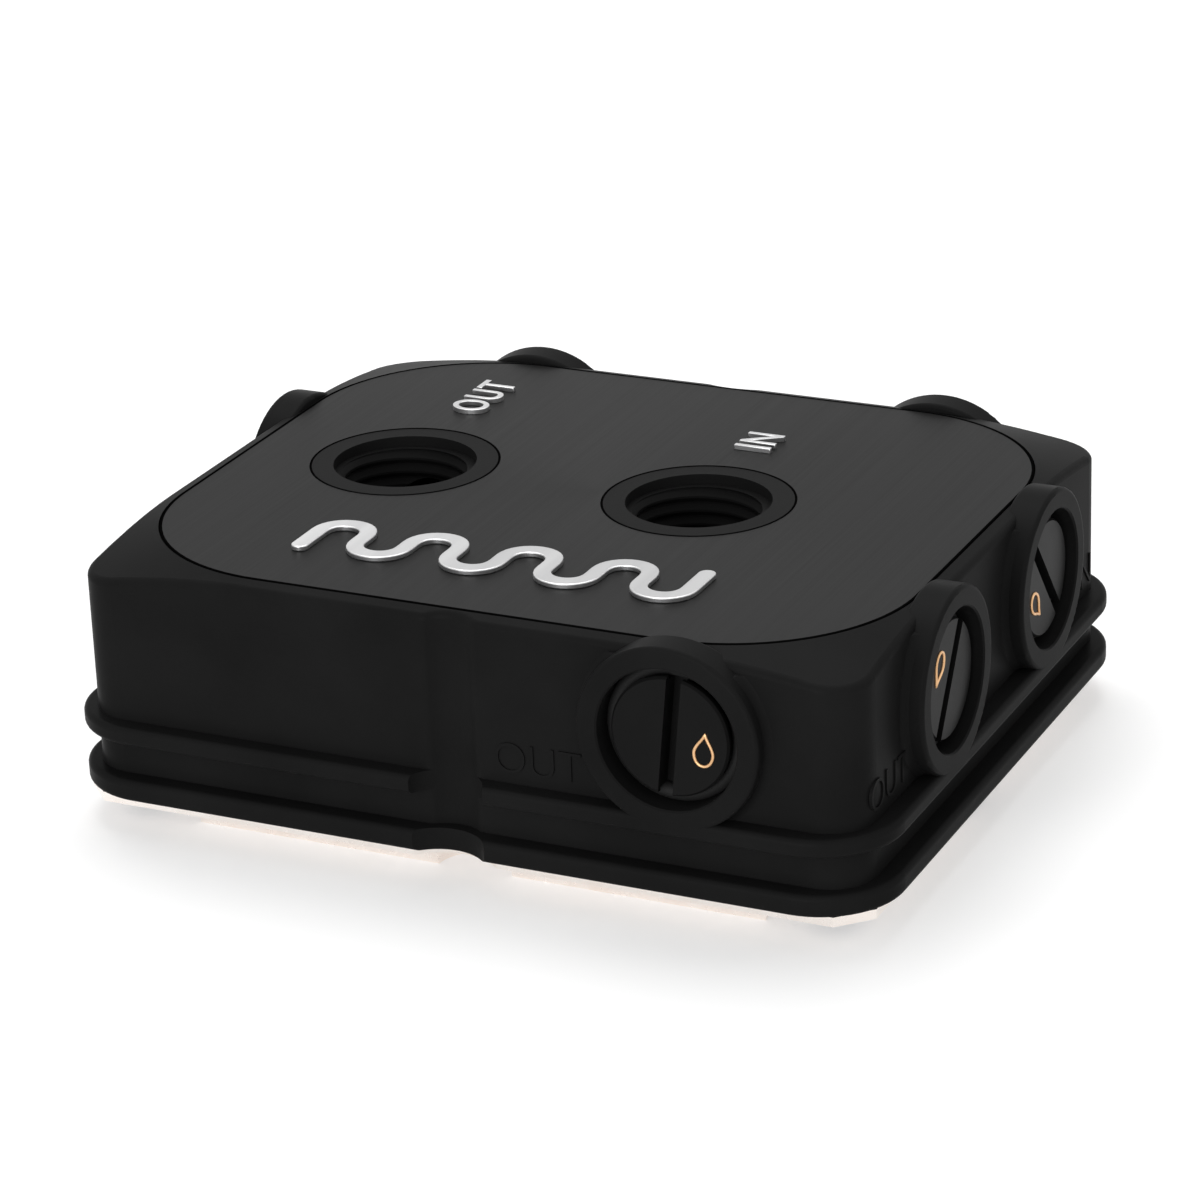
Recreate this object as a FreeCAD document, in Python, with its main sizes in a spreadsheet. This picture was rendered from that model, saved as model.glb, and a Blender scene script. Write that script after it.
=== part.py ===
"""Liquid cooling cold plate: copper base with micro-fins, moulded port housing, inlaid top plate and six
plugged side ports. Millimetres, +Z up, the contact face of the copper at z = 0, X along the longer side."""
import FreeCAD, Part
import math
import os

import Sketcher
from FreeCAD import Placement, Rotation, Vector

# Driving dimensions
DIMENSIONS = {
    # Outline of the housing over its two beads, and the walls set in behind them
    "BeadLength": 79.0,
    "BeadWidth": 66.0,
    "BeadCorner": 7.6,
    "BeadRound": 0.55,
    "WallInset": 1.9,
    "WallCorner": 4.2,
    # Heights, counted up from the contact face
    "StepHeight": 2.5,
    "FlangeThickness": 0.9,
    "LowerBeadHeight": 2.05,
    "GrooveHeight": 3.4,
    "UpperBeadHeight": 1.75,
    "HousingHeight": 22.1,
    # The top: a flat plate let into a crown that falls away towards the corners
    "RimWidth": 1.5,
    "PlateCorner": 16.5,
    "PlateThickness": 0.9,
    "PlateGap": 0.12,
    "PlateEdge": 0.15,
    "CrownReach": 9.0,
    "CrownDrop": 2.2,
    "RimRound": 0.7,
    # The channel in the middle of the front and the back, and the shallower notch below it
    "ChannelRadius": 3.7,
    "ChannelDepth": 2.7,
    "ChannelRound": 1.2,
    "NotchRadius": 4.6,
    "NotchDepth": 1.6,
    # Two ports on the top
    "OutletInset": 19.0,
    "InletX": 9.4,
    "TopPortY": 1.0,
    "PortRingRadius": 8.7,
    "ThreadRadius": 6.15,
    "MouthRadius": 6.7,
    "MouthDepth": 1.0,
    "TopThreadDepth": 9.0,
    # Six ports on the sides with their round bosses, set down from the top and in from the end of their side
    "PortAxisDepth": 7.65,
    "EndPortInset": 18.4,
    "RightFrontPortInset": 20.4,
    "RearPortInset": 21.1,
    "BossRadius": 8.4,
    "BossRound": 0.4,
    "BossRootDepth": 3.2,
    "BossRootRound": 0.9,
    "SealSeatRadius": 6.45,
    "SealSeatDepth": 3.2,
    "MouthChamfer": 0.15,
    "SideThreadDepth": 9.5,
    "PassageRadius": 4.1,
    "CrossPassageRadius": 3.7,
    "PassageOverrun": 2.0,
    # The slotted plugs and their seal rings
    "PlugRecess": 0.8,
    "PlugFaceRadius": 5.45,
    "PlugFaceThickness": 0.55,
    "PlugEdge": 0.2,
    "PlugThreadClearance": 0.03,
    "PlugEndClearance": 0.8,
    "SlotWidth": 1.35,
    "SlotDepth": 1.9,
    "SealSection": 1.4,
    "SealClearance": 0.01,
    # The wet chamber under the housing
    "ChamberEndInset": 10.0,
    "ChamberSideInset": 11.5,
    "ChamberCorner": 3.0,
    "ChamberHeight": 4.2,
    "InletMouthLength": 33.0,
    "InletMouthWidth": 18.0,
    "InletMouthX": 4.0,
    "InletMouthY": 5.0,
    "InletMouthHeight": 2.4,
    "InletWellLength": 12.0,
    "InletWellWidth": 6.0,
    "InletWellInset": 0.9,
    "InletWellHeight": 10.0,
    "DrainInset": 4.1,
    # Copper base
    "FlangeInset": 1.2,
    "FlangeChamfer": 2.8,
    "StepEndInset": 9.5,
    "StepSideInset": 4.9,
    "StepNotchRadius": 3.55,
    "HeadPocketRadius": 6.0,
    "FinEndGap": 8.0,
    "FinSideGap": 4.5,
    "FinThickness": 0.6,
    "FinPitch": 1.6,
    "FinHeight": 2.6,
    # Nozzle plate and its frame gasket
    "JetPlateEndGap": 6.5,
    "JetPlateSideGap": 3.5,
    "JetPlateThickness": 0.8,
    "JetPlateCorner": 2.0,
    "JetSlotLength": 2.4,
    "JetSlotWidth": 0.7,
    "JetSlotPitch": 3.2,
    "FrameWidth": 1.6,
    "FrameClearance": 0.3,
    "FrameCorner": 1.5,
    # Ring gasket between base and housing
    "GasketInset": 1.0,
    "GasketWidth": 1.7,
    "GasketHeight": 1.3,
    "GasketClearance": 0.1,
    "GasketRound": 0.5,
    # Screws from below
    "ScrewEndInset": 5.9,
    "ScrewSideInset": 6.4,
    "MiddleScrewInset": 4.9,
    "ScrewRadius": 1.5,
    "ScrewLength": 9.0,
    "ScrewThreadClearance": 0.02,
    "ScrewHoleClearance": 0.15,
    "ScrewTipClearance": 0.8,
    "HeadRadius": 2.75,
    "HeadHeight": 1.0,
    "DriveRadius": 1.2,
    "DriveDepth": 1.3,
}

# How each side port looks out of the housing: the turn that takes +Z to its outward direction
OUTWARD = {
    "front": Rotation(Vector(1, 0, 0), 90),
    "back": Rotation(Vector(1, 0, 0), -90),
    "right": Rotation(Vector(0, 1, 0), 90),
    "left": Rotation(Vector(0, 1, 0), -90),
}
HALF_LENGTH = "Sizes.BeadLength / 2"
HALF_WIDTH = "Sizes.BeadWidth / 2"
END_PORT_X = f"({HALF_LENGTH} - Sizes.EndPortInset)"
RIGHT_FRONT_Y = f"({HALF_WIDTH} - Sizes.RightFrontPortInset)"
REAR_Y = f"({HALF_WIDTH} - Sizes.RearPortInset)"
OUTLET_X = f"({HALF_LENGTH} - Sizes.OutletInset)"
# Name, side, place of the mouth, and where its passage ends, counted in from the mouth
SIDE_PORTS = [
    ("front", "front", END_PORT_X, f"-{HALF_WIDTH}", "Sizes.RightFrontPortInset"),
    ("right_front", "right", HALF_LENGTH, f"-{RIGHT_FRONT_Y}", "Sizes.EndPortInset"),
    ("right_rear", "right", HALF_LENGTH, REAR_Y, f"{HALF_LENGTH} - Sizes.InletX"),
    ("back_right", "back", END_PORT_X, HALF_WIDTH, "Sizes.RearPortInset"),
    ("back_left", "back", f"-{END_PORT_X}", HALF_WIDTH, f"{HALF_WIDTH} - Sizes.TopPortY"),
    ("left", "left", f"-{HALF_LENGTH}", REAR_Y, "Sizes.EndPortInset"),
]
BASE_TOP = "(Sizes.StepHeight + Sizes.FlangeThickness)"
TOP = f"({BASE_TOP} + Sizes.HousingHeight)"
PORT_AXIS = f"({TOP} - Sizes.PortAxisDepth)"
CHAMBER_TOP = f"({BASE_TOP} + Sizes.ChamberHeight)"
CHANNEL_AXIS = f"{HALF_WIDTH} + Sizes.ChannelRadius - Sizes.ChannelDepth"
NOTCH_AXIS = f"{HALF_WIDTH} + Sizes.NotchRadius - Sizes.NotchDepth"
WALL_LENGTH = "(Sizes.BeadLength - 2 * Sizes.WallInset)"
WALL_WIDTH = "(Sizes.BeadWidth - 2 * Sizes.WallInset)"
PLATE_LENGTH = f"({WALL_LENGTH} - 2 * Sizes.RimWidth)"
PLATE_WIDTH = f"({WALL_WIDTH} - 2 * Sizes.RimWidth)"
CHAMBER_LENGTH = "(Sizes.BeadLength - 2 * Sizes.ChamberEndInset)"
CHAMBER_WIDTH = "(Sizes.BeadWidth - 2 * Sizes.ChamberSideInset)"
STEP_LENGTH = "(Sizes.BeadLength - 2 * Sizes.StepEndInset)"
STEP_WIDTH = "(Sizes.BeadWidth - 2 * Sizes.StepSideInset)"
# How far a cutting tool runs past the face that it opens, how closely two heights have to agree, and how deep
# the round at the foot of a boss is sunk so that its surface crosses the wall and doesn't just touch it
PAST = 1
NEAR = 0.05
SUNK = 0.04
# How far each plug has been screwed home, in degrees, seen in the direction of its slot
PLUG_TURNS = {"front": -6, "right_front": 239, "right_rear": 308, "back_right": 20, "back_left": -35,
              "left": 60}

doc = FreeCAD.newDocument("ColdPlate")
sheet = doc.addObject("Spreadsheet::Sheet", "Sizes")
for row, (alias, value) in enumerate(DIMENSIONS.items(), start=1):
    sheet.set(f"A{row}", alias)
    sheet.set(f"B{row}", str(value))
    sheet.setAlias(f"B{row}", alias)
doc.recompute()


def size(alias):
    """A driving dimension as a plain number."""
    return float(getattr(sheet, alias))


def bind(item, **expressions):
    """Tie properties of an object to the sheet; x, y and z stand for its place."""
    for name, expression in expressions.items():
        target = f"Placement.Base.{name}" if name in ("x", "y", "z") else name
        item.setExpression(target, str(expression))
    return item


def cylinder(name, radius, height, x=0, y=0, z=0):
    """An upright cylinder standing on (x, y, z)."""
    return bind(doc.addObject("Part::Cylinder", name), Radius=radius, Height=height, x=x, y=y, z=z)


def cone(name, lower, upper, height, x=0, y=0, z=0):
    """An upright cone frustum standing on (x, y, z)."""
    return bind(doc.addObject("Part::Cone", name), Radius1=lower, Radius2=upper, Height=height, x=x, y=y, z=z)


def block(name, length, width, height, x=0, y=0, z=0):
    """A box centred on (x, y) and standing at z."""
    return bind(doc.addObject("Part::Box", name), Length=length, Width=width, Height=height,
                x=f"{x} - ({length}) / 2", y=f"{y} - ({width}) / 2", z=z)


def fuse(name, shapes):
    """One solid from several that meet."""
    joined = doc.addObject("Part::MultiFuse", name)
    joined.Shapes = shapes
    joined.Refine = True
    return joined


def cut(name, base, *tools):
    """The base with every tool taken out of it."""
    tool = tools[0] if len(tools) == 1 else fuse(f"{name}Tools", list(tools))
    removed = doc.addObject("Part::Cut", name)
    removed.Base = base
    removed.Tool = tool
    return removed


def common(name, first, second):
    """What two solids share."""
    shared = doc.addObject("Part::MultiCommon", name)
    shared.Shapes = [first, second]
    return shared


def rounded(name, base, radius, chosen):
    """The base with a round of this radius on each edge that the test chooses."""
    doc.recompute()
    picked = [i for i, edge in enumerate(base.Shape.Edges, start=1) if chosen(edge)]
    finished = doc.addObject("Part::Fillet", name)
    finished.Base = base
    finished.Edges = [(i, radius, radius) for i in picked]
    return finished


def axis_plane(body, role):
    """One of a body's own origin planes."""
    return next(item for item in body.Origin.OriginFeatures if item.Role == role)


def centred_sketch(body, name, length, width):
    """A rectangle centred on the body's origin, its two sides bound to the sheet."""
    sketch = body.newObject("Sketcher::SketchObject", name)
    sketch.AttachmentSupport = [(axis_plane(body, "XY_Plane"), "")]
    sketch.MapMode = "FlatFace"
    corners = [Vector(-1, -1, 0), Vector(1, -1, 0), Vector(1, 1, 0), Vector(-1, 1, 0)]
    for start, end in zip(corners, corners[1:] + corners[:1]):
        sketch.addGeometry(Part.LineSegment(start, end))
    for side in range(4):
        sketch.addConstraint(Sketcher.Constraint("Coincident", side, 2, (side + 1) % 4, 1))
        sketch.addConstraint(Sketcher.Constraint("Vertical" if side % 2 else "Horizontal", side))
    sketch.addConstraint(Sketcher.Constraint("Symmetric", 0, 1, 1, 2, -1, 1))
    for side, (label, expression) in enumerate((("Length", length), ("Width", width))):
        index = sketch.addConstraint(Sketcher.Constraint(f"Distance{'XY'[side]}", side, 1, side, 2, 2.0))
        sketch.renameConstraint(index, label)
        sketch.setExpression(f"Constraints.{label}", expression)
    return sketch


def is_upright(edge):
    """True for a straight edge along Z."""
    return edge.Curve.TypeId == "Part::GeomLine" and abs(edge.tangentAt(edge.FirstParameter).z) > 0.999


def is_level(edge, level):
    """True for an edge that lies flat at this height."""
    return abs(edge.BoundBox.ZMin - level) + abs(edge.BoundBox.ZMax - level) < NEAR


def slab(name, length, width, corner, height, z, dress="Fillet", rim=None, rim_levels=()):
    """A centred plate with dressed upright corners, and rounded rims at the chosen heights if asked for."""
    body = doc.addObject("PartDesign::Body", name)
    sketch = centred_sketch(body, f"{name}Outline", length, width)
    pad = body.newObject("PartDesign::Pad", f"{name}Pad")
    pad.Profile = sketch
    pad.setExpression("Length", height)
    doc.recompute()
    corners = [f"Edge{i}" for i, edge in enumerate(pad.Shape.Edges, start=1) if is_upright(edge)]
    dressed = body.newObject(f"PartDesign::{dress}", f"{name}Corners")
    dressed.Base = (pad, corners)
    dressed.setExpression("Radius" if dress == "Fillet" else "Size", corner)
    if rim:
        doc.recompute()
        tall = pad.Shape.BoundBox.ZMax
        levels = [0.0 if level == "bottom" else tall for level in rim_levels]
        edges = [f"Edge{i}" for i, edge in enumerate(dressed.Shape.Edges, start=1)
                 if any(is_level(edge, level) for level in levels)]
        rounding = body.newObject("PartDesign::Fillet", f"{name}Rim")
        rounding.Base = (dressed, edges)
        rounding.setExpression("Radius", rim)
    return bind(body, z=z)


def placed(item, label, side=None, turn=0, **place):
    """Give a finished piece its label and, for a side port, its outward direction, its turn and its place."""
    item.Label = label
    if side:
        item.Placement = Placement(Vector(), OUTWARD[side] * Rotation(Vector(0, 0, 1), turn))
    return bind(item, **place)


def rounded_sketch(body, name, length, width, corner, level):
    """A centred rectangle with rounded corners at a level of the body, all its sizes bound to the sheet."""
    sketch = body.newObject("Sketcher::SketchObject", name)
    sketch.AttachmentSupport = [(axis_plane(body, "XY_Plane"), "")]
    sketch.MapMode = "FlatFace"
    sketch.setExpression("AttachmentOffset.Base.z", str(level))
    # Drawn at any size that has the right form; the constraints then give it its own
    far, near = 2.0, 1.0
    outer = [((-near, -far), (near, -far)), ((far, -near), (far, near)),
             ((near, far), (-near, far)), ((-far, near), (-far, -near))]
    for start, end in outer:
        sketch.addGeometry(Part.LineSegment(Vector(*start, 0), Vector(*end, 0)))
    for turn, centre in enumerate(((near, -near), (near, near), (-near, near), (-near, -near))):
        circle = Part.Circle(Vector(*centre, 0), Vector(0, 0, 1), far - near)
        first = math.radians(90 * (turn - 1))
        sketch.addGeometry(Part.ArcOfCircle(circle, first, first + math.pi / 2))
    for side in range(4):
        sketch.addConstraint(Sketcher.Constraint("Tangent", side, 2, side + 4, 1))
        sketch.addConstraint(Sketcher.Constraint("Tangent", side + 4, 2, (side + 1) % 4, 1))
        sketch.addConstraint(Sketcher.Constraint("Vertical" if side % 2 else "Horizontal", side))
    for arc in (5, 6, 7):
        sketch.addConstraint(Sketcher.Constraint("Equal", 4, arc))
    sketch.addConstraint(Sketcher.Constraint("Symmetric", 5, 3, 7, 3, -1, 1))
    across = sketch.addConstraint(Sketcher.Constraint("DistanceX", 3, 1, 1, 1, 2 * far))
    along = sketch.addConstraint(Sketcher.Constraint("DistanceY", 0, 1, 2, 1, 2 * far))
    bend = sketch.addConstraint(Sketcher.Constraint("Radius", 4, far - near))
    for index, label, expression in ((across, "Length", length), (along, "Width", width),
                                     (bend, "Corner", corner)):
        sketch.renameConstraint(index, label)
        sketch.setExpression(f"Constraints.{label}", expression)
    return sketch


def crown_body(name, foot_level):
    """Upright below, then falling away outwards from the outline of the top plate."""
    body = doc.addObject("PartDesign::Body", name)
    reach = "2 * Sizes.CrownReach"
    foot = (f"{PLATE_LENGTH} + {reach}", f"{PLATE_WIDTH} + {reach}", "Sizes.PlateCorner + Sizes.CrownReach")
    sections = [rounded_sketch(body, f"{name}Foot", *foot, 0),
                rounded_sketch(body, f"{name}Shoulder", *foot, "Sizes.HousingHeight - Sizes.CrownDrop"),
                rounded_sketch(body, f"{name}Top", PLATE_LENGTH, PLATE_WIDTH, "Sizes.PlateCorner",
                               "Sizes.HousingHeight")]
    loft = body.newObject("PartDesign::AdditiveLoft", f"{name}Loft")
    loft.Profile = sections[0]
    loft.Sections = sections[1:]
    loft.Ruled = True
    return bind(body, z=foot_level)


def channel(name, end, radius, axis, z, height):
    """The upright round cut in the middle of the front (end -1) or the back (end 1)."""
    return cylinder(name, radius, height, y=f"{end} * ({axis})", z=z)


def is_wall_top(edge):
    """True for the edges where the crown meets the walls."""
    top = size("StepHeight") + size("FlangeThickness") + size("HousingHeight")
    box = edge.BoundBox
    return box.ZMax < top - NEAR and box.ZMin > top - size("CrownDrop") and edge.Length > size("RimRound")


def build_walls():
    """The walls of the housing under the crown, with the two channels and the rounded top edge."""
    walls = slab("Walls", WALL_LENGTH, WALL_WIDTH, "Sizes.WallCorner", "Sizes.HousingHeight", BASE_TOP)
    crowned = common("CrownedWalls", walls, crown_body("Crown", BASE_TOP))
    cuts = [channel(f"WallChannel{i}", end, "Sizes.ChannelRadius", CHANNEL_AXIS, BASE_TOP,
                    f"Sizes.HousingHeight + {PAST}") for i, end in enumerate((-1, 1))]
    channelled = cut("ChannelledWalls", crowned, *cuts)
    soft_channel = rounded("SoftChannel", channelled, size("ChannelRound"),
                           lambda edge: is_upright(edge) and abs(edge.CenterOfMass.x) < size("ChannelRadius"))
    return rounded("SoftWalls", soft_channel, size("RimRound"), is_wall_top)


def outward_steps(side, distance):
    """The x and y steps that lie a distance inwards from a side's face."""
    step = {"front": (0, 1), "back": (0, -1), "right": (-1, 0), "left": (1, 0)}[side]
    return f"{step[0]} * {distance}", f"{step[1]} * {distance}"


def build_boss(name, side, x, y):
    """A round boss whose face is level with the beads, rounded at both its ends."""
    barrel = cylinder(f"Barrel_{name}", "Sizes.BossRadius", "Sizes.BossRootDepth")
    boss = rounded(f"Boss_{name}", barrel, size("BossRound"), lambda edge: edge.BoundBox.ZLength < NEAR)
    dx, dy = outward_steps(side, "Sizes.BossRootDepth")
    return placed(boss, f"Boss_{name}", side, x=f"{x} + {dx}", y=f"{y} + {dy}", z=PORT_AXIS)


def build_boss_root(name, side, x, y):
    """The hollow round in which a boss runs out into its wall."""
    foot = cylinder(f"RootFoot_{name}", f"Sizes.BossRadius + Sizes.BossRootRound + {SUNK}",
                    f"{PAST} - {SUNK}", z=-PAST)
    neck = cylinder(f"RootNeck_{name}", f"Sizes.BossRadius - {SUNK}", f"Sizes.BossRootRound + {PAST}",
                    z=-PAST)
    stepped = fuse(f"RootBlank_{name}", [foot, neck])
    inner = size("BossRadius") - SUNK
    root = rounded(f"Root_{name}", stepped, size("BossRootRound"),
                   lambda edge: is_level(edge, -SUNK) and edge.BoundBox.XMax < inner + NEAR)
    dx, dy = outward_steps(side, "Sizes.WallInset")
    return placed(root, f"Root_{name}", side, x=f"{x} + {dx}", y=f"{y} + {dy}", z=PORT_AXIS)


def side_port_tool(name, side, x, y, depth):
    """What is drilled and turned out of the housing for one side port."""
    seat = cylinder(f"Seat_{name}", "Sizes.SealSeatRadius", f"Sizes.SealSeatDepth + {PAST}",
                    z="-Sizes.SealSeatDepth")
    mouth = cone(f"Mouth_{name}", "Sizes.SealSeatRadius", "Sizes.SealSeatRadius + 2 * Sizes.MouthChamfer",
                 "2 * Sizes.MouthChamfer", z="-Sizes.MouthChamfer")
    thread = cylinder(f"Thread_{name}", "Sizes.ThreadRadius", "Sizes.SideThreadDepth",
                      z="-Sizes.SideThreadDepth")
    bore = "Sizes.PassageRadius" if side in ("left", "right") else "Sizes.CrossPassageRadius"
    reach = f"({depth} + Sizes.PassageOverrun)"
    passage = cylinder(f"Passage_{name}", bore, reach, z=f"-{reach}")
    tool = fuse(f"SidePort_{name}", [seat, mouth, thread, passage])
    return placed(tool, f"SidePort_{name}", side, x=x, y=y, z=PORT_AXIS)


def top_port_tool(name, x, floor):
    """What is drilled and turned out of the housing for one top port, down to its floor."""
    depth = f"{TOP} - Sizes.TopThreadDepth"
    thread = cylinder(f"Thread_{name}", "Sizes.ThreadRadius", f"Sizes.TopThreadDepth + {PAST}",
                      x, "Sizes.TopPortY", depth)
    mouth = cylinder(f"Mouth_{name}", "Sizes.MouthRadius", f"Sizes.MouthDepth + {PAST}",
                     x, "Sizes.TopPortY", f"{TOP} - Sizes.MouthDepth")
    passage = cylinder(f"Passage_{name}", "Sizes.CrossPassageRadius", f"{depth} - {floor} + 2 * {PAST}",
                       x, "Sizes.TopPortY", f"{floor} - {PAST}")
    return fuse(f"TopPort_{name}", [thread, mouth, passage])


def ring(name, length, width, corner, inner, outer, height, z, x=0, y=0, rim=None):
    """A flat rounded frame between two offsets from a rounded rectangle."""
    outside = slab(f"{name}Outside", f"{length} + 2 * ({outer})", f"{width} + 2 * ({outer})",
                   f"{corner} + {outer}", height, z, rim=rim, rim_levels=("bottom", "top"))
    inside = slab(f"{name}Inside", f"{length} + 2 * ({inner})", f"{width} + 2 * ({inner})",
                  f"{corner} + {inner}", f"{height} + 2 * {PAST}", f"{z} - {PAST}")
    for body in (outside, inside):
        bind(body, x=x, y=y)
    return cut(name, outside, inside)


def corner_places():
    """The places of the four corner screws as expressions for x and y."""
    return [(f"{a} * ({HALF_LENGTH} - Sizes.ScrewEndInset)", f"{b} * ({HALF_WIDTH} - Sizes.ScrewSideInset)")
            for a in (-1, 1) for b in (-1, 1)]


def screw_places():
    """All six screws: four in the corners, two in the middle of the short sides."""
    return corner_places() + [(f"{a} * ({HALF_LENGTH} - Sizes.MiddleScrewInset)", "0") for a in (-1, 1)]


def build_housing():
    """The moulded housing: walls, beads, bosses, ports, passages and the wet chamber."""
    outline = ("Sizes.BeadLength", "Sizes.BeadWidth", "Sizes.BeadCorner")
    upper_floor = f"({BASE_TOP} + Sizes.LowerBeadHeight + Sizes.GrooveHeight)"
    lower = slab("LowerBead", *outline, "Sizes.LowerBeadHeight", BASE_TOP, rim="Sizes.BeadRound",
                 rim_levels=("bottom", "top"))
    upper = slab("UpperBead", *outline, "Sizes.UpperBeadHeight", upper_floor, rim="Sizes.BeadRound",
                 rim_levels=("bottom", "top"))
    bosses = [build_boss(name, side, x, y) for name, side, x, y, depth in SIDE_PORTS]
    roots = fuse("BossRoots", [build_boss_root(name, side, x, y) for name, side, x, y, depth in SIDE_PORTS])
    low_roots = common("LowRoots", roots, crown_body("RootCrown", f"{BASE_TOP} - Sizes.RimRound"))
    outside = fuse("HousingOutside", [build_walls(), lower, upper, *bosses, low_roots])

    channels = [channel(f"BeadChannel{i}", end, "Sizes.ChannelRadius", CHANNEL_AXIS,
                        f"{BASE_TOP} + Sizes.LowerBeadHeight + {PAST}",
                        "Sizes.GrooveHeight + Sizes.UpperBeadHeight") for i, end in enumerate((-1, 1))]
    notches = [channel(f"BeadNotch{i}", end, "Sizes.NotchRadius", NOTCH_AXIS, f"{BASE_TOP} - {PAST}",
                       f"Sizes.LowerBeadHeight + 2 * {PAST}") for i, end in enumerate((-1, 1))]
    rings = [cylinder(f"PortRing{i}", "Sizes.PortRingRadius", "Sizes.HousingHeight", x, "Sizes.TopPortY",
                      BASE_TOP) for i, x in enumerate((f"-{OUTLET_X}", "Sizes.InletX"))]
    recess_blank = slab("RecessBlank", f"{PLATE_LENGTH} + 2 * Sizes.PlateGap",
                        f"{PLATE_WIDTH} + 2 * Sizes.PlateGap", "Sizes.PlateCorner + Sizes.PlateGap",
                        f"Sizes.PlateThickness + 2 * {PAST}", f"{TOP} - Sizes.PlateThickness")
    recess = cut("Recess", recess_blank, *rings)
    side_ports = [side_port_tool(*port) for port in SIDE_PORTS]
    top_ports = [top_port_tool("outlet", f"-{OUTLET_X}", CHAMBER_TOP),
                 top_port_tool("inlet", "Sizes.InletX", CHAMBER_TOP)]
    chamber = slab("Chamber", CHAMBER_LENGTH, CHAMBER_WIDTH, "Sizes.ChamberCorner",
                   f"Sizes.ChamberHeight + {PAST}", f"{BASE_TOP} - {PAST}")
    mouth = block("InletMouth", "Sizes.InletMouthLength", "Sizes.InletMouthWidth",
                  f"Sizes.InletMouthHeight + {PAST}", "Sizes.InletMouthX", "Sizes.InletMouthY",
                  f"{CHAMBER_TOP} - {PAST}")
    well = block("InletWell", "Sizes.InletWellLength", "Sizes.InletWellWidth", "Sizes.InletWellHeight",
                 "Sizes.InletX", f"{REAR_Y} - Sizes.InletWellInset", CHAMBER_TOP)
    drain = cylinder("Drain", "Sizes.CrossPassageRadius", f"{PORT_AXIS} - {CHAMBER_TOP} + {PAST}",
                     f"{CHAMBER_LENGTH} / 2 - Sizes.DrainInset", f"-{RIGHT_FRONT_Y}",
                     f"{CHAMBER_TOP} - {PAST}")
    groove = ring("GasketGroove", CHAMBER_LENGTH, CHAMBER_WIDTH, "Sizes.ChamberCorner",
                  "Sizes.GasketInset - Sizes.GasketClearance",
                  "Sizes.GasketInset + Sizes.GasketWidth + Sizes.GasketClearance",
                  f"Sizes.GasketHeight + {PAST}", f"{BASE_TOP} - {PAST}")
    screw_holes = [cylinder(f"ScrewHole{i}", "Sizes.ScrewRadius + Sizes.ScrewThreadClearance",
                            "Sizes.ScrewLength + Sizes.ScrewTipClearance", x, y, "Sizes.StepHeight")
                   for i, (x, y) in enumerate(screw_places())]
    shell = cut("HousingShell", outside, recess, *channels, *notches)
    wet = cut("WetHousing", shell, chamber, mouth, well, drain)
    ported = cut("PortedHousing", cut("SidePortedHousing", wet, *side_ports), *top_ports)
    return placed(cut("Housing", ported, groove, *screw_holes), "housing")


def build_top_plate():
    """The flat plate let into the crown, with a hole round each port ring."""
    blank = slab("TopBlank", PLATE_LENGTH, PLATE_WIDTH, "Sizes.PlateCorner", "Sizes.PlateThickness",
                 f"{TOP} - Sizes.PlateThickness", rim="Sizes.PlateEdge", rim_levels=("top",))
    holes = [cylinder(f"TopHole{i}", "Sizes.PortRingRadius + Sizes.PlateGap", "Sizes.HousingHeight",
                      x, "Sizes.TopPortY", BASE_TOP)
             for i, x in enumerate((f"-{OUTLET_X}", "Sizes.InletX"))]
    return placed(cut("TopPlate", blank, *holes), "top_plate")


def build_base_plate():
    """The copper base: flange, contact step with its notches and head pockets, and the fin field."""
    flange = slab("Flange", "Sizes.BeadLength - 2 * Sizes.FlangeInset",
                  "Sizes.BeadWidth - 2 * Sizes.FlangeInset", "Sizes.FlangeChamfer", "Sizes.FlangeThickness",
                  "Sizes.StepHeight", dress="Chamfer")
    flange_notches = [channel(f"FlangeNotch{i}", end, "Sizes.NotchRadius + Sizes.FlangeInset", NOTCH_AXIS,
                              "Sizes.StepHeight", "Sizes.FlangeThickness") for i, end in enumerate((-1, 1))]
    holes = [cylinder(f"FlangeHole{i}", "Sizes.ScrewRadius + Sizes.ScrewHoleClearance",
                      "Sizes.FlangeThickness", x, y, "Sizes.StepHeight")
             for i, (x, y) in enumerate(screw_places())]
    drilled = cut("DrilledFlange", flange, *flange_notches, *holes)
    step = block("Step", STEP_LENGTH, STEP_WIDTH, "Sizes.StepHeight")
    step_notches = [channel(f"StepNotch{i}", end, "Sizes.StepNotchRadius", f"{STEP_WIDTH} / 2", 0,
                            "Sizes.StepHeight") for i, end in enumerate((-1, 1))]
    pockets = [cylinder(f"HeadPocket{i}", "Sizes.HeadPocketRadius", "Sizes.StepHeight", x, y)
               for i, (x, y) in enumerate(corner_places())]
    contact = cut("ContactStep", step, *step_notches, *pockets)
    field = size("BeadLength") - 2 * size("ChamberEndInset") - 2 * size("FinEndGap")
    count = int((field - size("FinThickness")) / size("FinPitch")) + 1
    fins = [block(f"Fin{i}", "Sizes.FinThickness", f"{CHAMBER_WIDTH} - 2 * Sizes.FinSideGap",
                  "Sizes.FinHeight", f"{i - (count - 1) / 2} * Sizes.FinPitch", 0, BASE_TOP)
            for i in range(count)]
    return placed(fuse("BasePlate", [drilled, contact, *fins]), "base_plate")


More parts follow.
